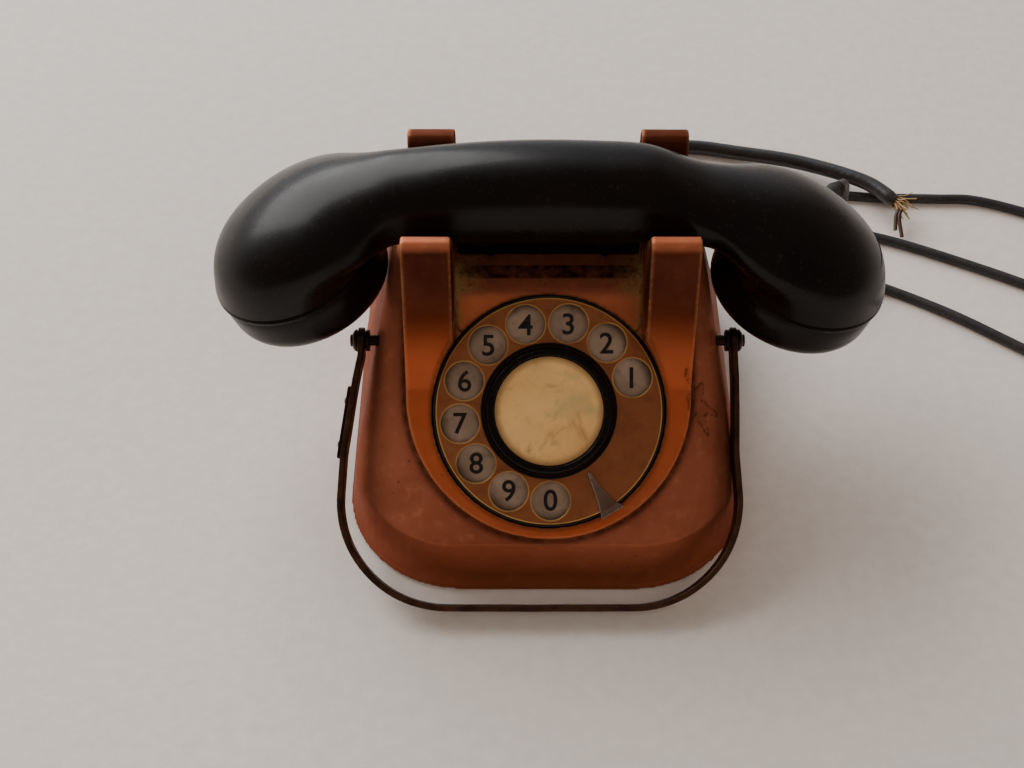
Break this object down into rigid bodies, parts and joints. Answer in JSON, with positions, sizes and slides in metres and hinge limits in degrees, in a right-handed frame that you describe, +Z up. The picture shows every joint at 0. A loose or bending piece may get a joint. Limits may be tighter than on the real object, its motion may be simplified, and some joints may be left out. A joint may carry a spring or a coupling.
{
  "type": "rotary dial desk telephone",
  "caption": "Copper-bodied rotary dial desk telephone with a black handset across a horned cradle, a swinging carrying bail at the front and loose rear cords.",
  "frame": {"origin": "middle of the raised panel under the base plate; the table is 4 mm lower, at the undersides of the four feet", "axes": "+Z up; +Y from the dial side to the back; +X to the right of a person facing the dial"},
  "size_m": [0.3645, 0.2551, 0.1283],
  "materials": {
    "aged_silver": "aged silver-grey plate with black numerals",
    "bail_metal": "worn dark copper strip",
    "bakelite": "glossy black moulding",
    "black_rubber": "matt black",
    "brass": "plain brass",
    "card": "stained cream paper card",
    "cast_metal": "dark lacquered steel",
    "chrome": "worn bright plating",
    "copper": "aged copper with dark patina, satin",
    "cord": "black cord covering",
    "phenolic": "brown insulating board",
    "steel": "plain steel",
    "wheel_bronze": "dark bronze with bright worn edges",
    "winding": "varnished winding",
    "window": "thin clear cover"
  },
  "bodies": {
    "base": {"bail_pivot_left": "bail_metal", "bail_pivot_right": "bail_metal", "base_plate": "cast_metal", "bell_gong_left": "brass", "bell_gong_right": "brass", "bell_post_left": "steel", "bell_post_right": "steel", "capacitor_can": "cast_metal", "case_screw_1": "steel", "case_screw_2": "steel", "case_screw_3": "steel", "case_screw_4": "steel", "contact_springs": "brass", "dial_case": "cast_metal", "dial_frame": "brass", "finger_stop": "chrome", "governor_cup": "steel", "handset_cord": "cord", "handset_cord_grommet": "black_rubber", "housing_shell": "copper", "induction_coil": "winding", "lead_cord_grommet": "black_rubber", "line_cord": "cord", "line_cord_grommet": "black_rubber", "number_plate": "aged_silver", "pulse_contacts": "brass", "return_spring": "steel", "ringer_coil_left": "winding", "ringer_coil_right": "winding", "ringer_frame": "steel", "rubber_foot_1": "black_rubber", "rubber_foot_2": "black_rubber", "rubber_foot_3": "black_rubber", "rubber_foot_4": "black_rubber", "switch_bracket": "steel", "terminal_block": "phenolic", "terminal_screw_1": "brass", "terminal_screw_2": "brass", "thin_lead": "cord"},
    "dial_wheel": {"finger_wheel": "wheel_bronze", "dial_spindle": "steel", "centre_ring": "bakelite", "label_card": "card", "label_window": "window", "main_gear": "brass"},
    "pulse_cam": {"pulse_cam": "brass"},
    "governor": {"governor_rotor": "brass"},
    "handset": {"handset_grip": "bakelite", "earpiece_cap": "bakelite", "mouthpiece_cap": "bakelite", "receiver_capsule": "steel", "microphone_capsule": "steel", "handset_cord_boot": "black_rubber"},
    "hook_bar": {"hook_bar": "bakelite", "hook_plunger_left": "steel", "hook_plunger_right": "steel"},
    "hook_lever": {"hook_lever": "steel"},
    "bail": {"carrying_bail": "bail_metal"},
    "clapper": {"clapper_armature": "steel", "clapper_hammer": "steel"}
  },
  "joints": [
    {"name": "dial_turn", "type": "hinge", "parent": "base", "child": "dial_wheel", "pos_m": [0, -0.048, 0.0545], "axis": [0, 0.637, -0.7709], "range_deg": [0, 329]},
    {"name": "pulse_cam_spin", "type": "hinge", "parent": "base", "child": "pulse_cam", "pos_m": [0.0194, -0.048, 0.0545], "axis": [0, 0.637, -0.7709], "range_deg": [-1210, 0]},
    {"name": "governor_spin", "type": "hinge", "parent": "base", "child": "governor", "pos_m": [0, -0.05744, 0.0306], "axis": [1, 0, 0], "range_deg": [0, 3960]},
    {"name": "handset_lift", "type": "slide", "parent": "base", "child": "handset", "axis": [0, 0, 1], "range_m": [0, 0.1]},
    {"name": "hook_bar_rise", "type": "slide", "parent": "base", "child": "hook_bar", "axis": [0, 0, 1], "range_m": [0, 0.0061]},
    {"name": "hook_lever_turn", "type": "hinge", "parent": "base", "child": "hook_lever", "pos_m": [0, 0.026, 0.052], "axis": [1, 0, 0], "range_deg": [-15, 0]},
    {"name": "bail_swing", "type": "hinge", "parent": "base", "child": "bail", "pos_m": [0, -0.015, 0.054], "axis": [-1, 0, 0], "range_deg": [0, 55]},
    {"name": "clapper_swing", "type": "hinge", "parent": "base", "child": "clapper", "pos_m": [0, 0.0372, 0.02], "axis": [0, 0, 1], "range_deg": [-4, 4]}
  ],
  "couplings": [
    {"joint": "pulse_cam_spin", "follows": "dial_turn", "ratio": -3.6585},
    {"joint": "governor_spin", "follows": "dial_turn", "ratio": 12},
    {"joint": "hook_bar_rise", "follows": "handset_lift", "ratio": 0.06},
    {"joint": "hook_lever_turn", "follows": "handset_lift", "rad_per_m": -2.45}
  ]
}
